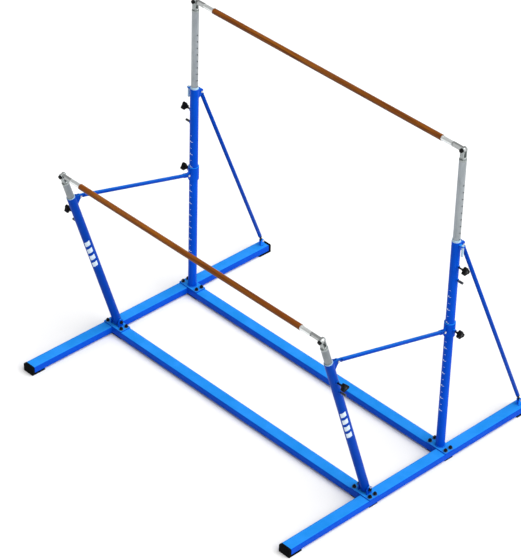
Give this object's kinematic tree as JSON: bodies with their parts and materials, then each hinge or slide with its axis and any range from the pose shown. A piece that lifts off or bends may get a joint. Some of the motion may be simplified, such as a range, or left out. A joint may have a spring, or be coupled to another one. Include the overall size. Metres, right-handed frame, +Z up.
{
  "type": "uneven parallel bars",
  "caption": "Free-standing uneven bars: steel base frame, two upright and two leaning telescopic masts, struts, braces and round wooden rails at unequal heights.",
  "frame": {"origin": "on the floor, under the middle of the base frame", "axes": "+X along the rails, +Y from the low rail to the high rail, +Z up"},
  "size_m": [2.614, 2.22, 2.37],
  "materials": {
    "blue_paint": "gloss",
    "black_bolt": "satin black",
    "zinc_bolt": "zinc plated",
    "black_rubber": "matt",
    "nylon": "matt",
    "mast_steel": "satin galvanised",
    "cast_head": "cast",
    "rail_wood": "oiled laminate",
    "rail_core": "glass fibre",
    "rail_fitting": "satin",
    "black_plastic": "moulded",
    "plunger_steel": "satin"
  },
  "bodies": {
    "base": {"base_bolts": "black_bolt", "brace_bolts": "zinc_bolt", "brace_eyes": "black_bolt", "brace_foot_brackets": "blue_paint", "brace_left": "blue_paint", "brace_right": "blue_paint", "cross_beam_front": "blue_paint", "cross_beam_rear": "blue_paint", "end_cap_front_left": "black_rubber", "end_cap_front_right": "black_rubber", "end_cap_rear_left": "black_rubber", "end_cap_rear_right": "black_rubber", "foot_hinge_bolts": "black_bolt", "foot_pads": "black_rubber", "high_bushes": "nylon", "high_foot_plates": "blue_paint", "high_post_left": "blue_paint", "high_post_right": "blue_paint", "low_foot_plate_left": "blue_paint", "low_foot_plate_right": "blue_paint", "side_beam_left": "blue_paint", "side_beam_right": "blue_paint"},
    "high_mast_left": {"high_inner_left": "mast_steel", "high_head_left": "cast_head"},
    "low_post_left": {"low_post_left": "blue_paint", "low_bush_left": "nylon"},
    "low_mast_left": {"low_inner_left": "mast_steel", "low_head_left": "cast_head"},
    "strut_left": {"strut_left": "blue_paint", "strut_bolts_left": "zinc_bolt"},
    "collar_left": {"collar_left": "blue_paint"},
    "high_clamp_knob_left": {"high_clamp_knob_left": "black_plastic"},
    "collar_knob_left": {"collar_knob_left": "black_plastic"},
    "low_clamp_knob_left": {"low_clamp_knob_left": "black_plastic"},
    "high_plunger_left": {"high_plunger_left": "plunger_steel"},
    "low_plunger_left": {"low_plunger_left": "plunger_steel"},
    "high_mast_right": {"high_inner_right": "mast_steel", "high_head_right": "cast_head"},
    "low_post_right": {"low_post_right": "blue_paint", "low_bush_right": "nylon"},
    "low_mast_right": {"low_inner_right": "mast_steel", "low_head_right": "cast_head"},
    "strut_right": {"strut_right": "blue_paint", "strut_bolts_right": "zinc_bolt"},
    "collar_right": {"collar_right": "blue_paint"},
    "high_clamp_knob_right": {"high_clamp_knob_right": "black_plastic"},
    "collar_knob_right": {"collar_knob_right": "black_plastic"},
    "low_clamp_knob_right": {"low_clamp_knob_right": "black_plastic"},
    "high_plunger_right": {"high_plunger_right": "plunger_steel"},
    "low_plunger_right": {"low_plunger_right": "plunger_steel"},
    "high_rail": {"high_rail_core": "rail_core", "high_rail_end_left": "rail_fitting", "high_rail_end_right": "rail_fitting", "high_rail_pins": "black_plastic", "high_rail_wood": "rail_wood"},
    "low_rail": {"low_rail_core": "rail_core", "low_rail_end_left": "rail_fitting", "low_rail_end_right": "rail_fitting", "low_rail_pins": "black_plastic", "low_rail_wood": "rail_wood"}
  },
  "joints": [
    {"name": "high_height", "type": "slide", "parent": "base", "child": "high_mast_left", "axis": [0, 0, 1], "range_m": [-0.55, 0.15]},
    {"name": "high_tilt", "type": "hinge", "parent": "high_mast_left", "child": "high_rail", "pos_m": [-1.2, 0.345, 2.35], "axis": [0, 1, 0], "range_deg": [-1.19, 1.19]},
    {"name": "high_level", "type": "slide", "parent": "high_mast_left", "child": "high_mast_right", "axis": [0, 0, 1], "range_m": [-0.052, 0.052]},
    {"name": "low_lean_left", "type": "hinge", "parent": "base", "child": "low_post_left", "pos_m": [-1.2, -0.355, 0.105], "axis": [1, 0, 0], "range_deg": [-1.4, 1]},
    {"name": "strut_swing_left", "type": "hinge", "parent": "low_post_left", "child": "strut_left", "pos_m": [-1.2, -0.67013, 1.26569], "axis": [1, 0, 0], "range_deg": [-5.1, 3.7]},
    {"name": "collar_slide_left", "type": "slide", "parent": "base", "child": "collar_left", "axis": [0, 0, 1], "range_m": [-0.1, 0.0715]},
    {"name": "high_clamp_turn_left", "type": "hinge", "parent": "base", "child": "high_clamp_knob_left", "pos_m": [-1.2, 0.345, 1.5], "axis": [-1, 0, 0], "range_deg": [0, 300]},
    {"name": "collar_clamp_turn_left", "type": "hinge", "parent": "collar_left", "child": "collar_knob_left", "pos_m": [-1.2, 0.345, 1.013], "axis": [-1, 0, 0], "range_deg": [0, 300]},
    {"name": "low_clamp_turn_left", "type": "hinge", "parent": "low_post_left", "child": "low_clamp_knob_left", "pos_m": [-1.2, -0.69147, 1.12599], "axis": [-1, 0, 0], "range_deg": [0, 300]},
    {"name": "high_plunger_push_left", "type": "slide", "parent": "base", "child": "high_plunger_left", "axis": [-1, 0, 0], "range_m": [-0.01, 0]},
    {"name": "low_plunger_push_left", "type": "slide", "parent": "low_post_left", "child": "low_plunger_left", "axis": [-1, 0, 0], "range_m": [-0.01, 0]},
    {"name": "low_lean_right", "type": "hinge", "parent": "base", "child": "low_post_right", "pos_m": [1.2, -0.355, 0.105], "axis": [1, 0, 0], "range_deg": [-1.4, 1]},
    {"name": "strut_swing_right", "type": "hinge", "parent": "low_post_right", "child": "strut_right", "pos_m": [1.2, -0.67013, 1.26569], "axis": [1, 0, 0], "range_deg": [-5.1, 3.7]},
    {"name": "collar_slide_right", "type": "slide", "parent": "base", "child": "collar_right", "axis": [0, 0, 1], "range_m": [-0.1, 0.0715]},
    {"name": "high_clamp_turn_right", "type": "hinge", "parent": "base", "child": "high_clamp_knob_right", "pos_m": [1.2, 0.345, 1.5], "axis": [1, 0, 0], "range_deg": [0, 300]},
    {"name": "collar_clamp_turn_right", "type": "hinge", "parent": "collar_right", "child": "collar_knob_right", "pos_m": [1.2, 0.345, 1.013], "axis": [1, 0, 0], "range_deg": [0, 300]},
    {"name": "low_clamp_turn_right", "type": "hinge", "parent": "low_post_right", "child": "low_clamp_knob_right", "pos_m": [1.2, -0.69147, 1.12599], "axis": [1, 0, 0], "range_deg": [0, 300]},
    {"name": "high_plunger_push_right", "type": "slide", "parent": "base", "child": "high_plunger_right", "axis": [1, 0, 0], "range_m": [-0.01, 0]},
    {"name": "low_plunger_push_right", "type": "slide", "parent": "low_post_right", "child": "low_plunger_right", "axis": [1, 0, 0], "range_m": [-0.01, 0]},
    {"name": "low_height", "type": "slide", "parent": "low_post_left", "child": "low_mast_left", "axis": [0, -0.313, 0.9498], "range_m": [-0.1, 0.4]},
    {"name": "low_tilt", "type": "hinge", "parent": "low_mast_left", "child": "low_rail", "pos_m": [-1.2, -0.80997, 1.48556], "axis": [0, 0.9498, 0.313], "range_deg": [-1.19, 1.19]},
    {"name": "low_level", "type": "slide", "parent": "low_mast_left", "child": "low_mast_right", "axis": [0, -0.313, 0.9498], "range_m": [-0.052, 0.052]}
  ],
  "couplings": [
    {"joint": "high_level", "follows": "high_tilt", "m_per_rad": -2.4},
    {"joint": "low_level", "follows": "low_tilt", "m_per_rad": -2.4},
    {"joint": "low_lean_right", "follows": "low_lean_left", "ratio": 1},
    {"joint": "strut_swing_left", "follows": "low_lean_left", "ratio": 3.5573},
    {"joint": "strut_swing_right", "follows": "low_lean_left", "ratio": 3.5573},
    {"joint": "collar_slide_left", "follows": "low_lean_left", "m_per_rad": 4.0696},
    {"joint": "collar_slide_right", "follows": "low_lean_left", "m_per_rad": 4.0696}
  ]
}
